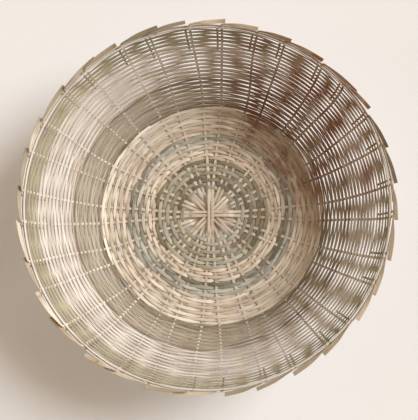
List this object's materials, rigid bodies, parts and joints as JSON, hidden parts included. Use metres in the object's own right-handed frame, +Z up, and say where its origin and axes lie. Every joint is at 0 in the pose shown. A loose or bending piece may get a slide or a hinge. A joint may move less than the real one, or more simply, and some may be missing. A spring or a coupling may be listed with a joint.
{
  "type": "winnowing basket",
  "caption": "Shallow round basket woven from flat bamboo splints, for tossing grain, with a hooped rim and folded splint ends.",
  "frame": {"origin": "on the surface that the basket stands on, below the hub where the long splints cross", "axes": "+Z up, out of the bowl; +Y along the topmost pair of long splints"},
  "size_m": [0.4562, 0.4562, 0.1129],
  "materials": {
    "splint": "split bamboo, satin, fine lengthwise grain",
    "weaver_natural": "undyed split bamboo, dry satin",
    "weaver_grey_green": "weathered green bamboo skin, matt",
    "weaver_blue_grey": "weathered blue-grey bamboo skin, matt",
    "weaver_brown_green": "weathered brown-green bamboo skin, matt",
    "hoop": "pale split bamboo, satin"
  },
  "bodies": {
    "root": {"long_splint_1a": "splint", "long_splint_1b": "splint", "long_splint_2a": "splint", "long_splint_2b": "splint", "long_splint_3a": "splint", "long_splint_3b": "splint", "long_splint_4a": "splint", "long_splint_4b": "splint", "long_splint_5a": "splint", "long_splint_5b": "splint", "long_splint_6a": "splint", "long_splint_6b": "splint", "long_splint_7a": "splint", "long_splint_7b": "splint", "long_splint_8a": "splint", "long_splint_8b": "splint", "inner_grey_weaver_a": "weaver_grey_green", "inner_grey_weaver_b": "weaver_grey_green", "inner_natural_weaver_a": "weaver_natural", "inner_natural_weaver_b": "weaver_natural", "outer_grey_weaver_a": "weaver_blue_grey", "outer_grey_weaver_b": "weaver_blue_grey", "base_natural_weaver_a": "weaver_natural", "base_natural_weaver_b": "weaver_natural", "wall_brown_weaver_a": "weaver_brown_green", "wall_brown_weaver_b": "weaver_brown_green", "wall_natural_weaver_a": "weaver_natural", "wall_natural_weaver_b": "weaver_natural", "wall_green_weaver_a": "weaver_grey_green", "wall_green_weaver_b": "weaver_grey_green", "rim_hoop_inner": "hoop", "rim_hoop_outer": "hoop"}
  },
  "joints": []
}
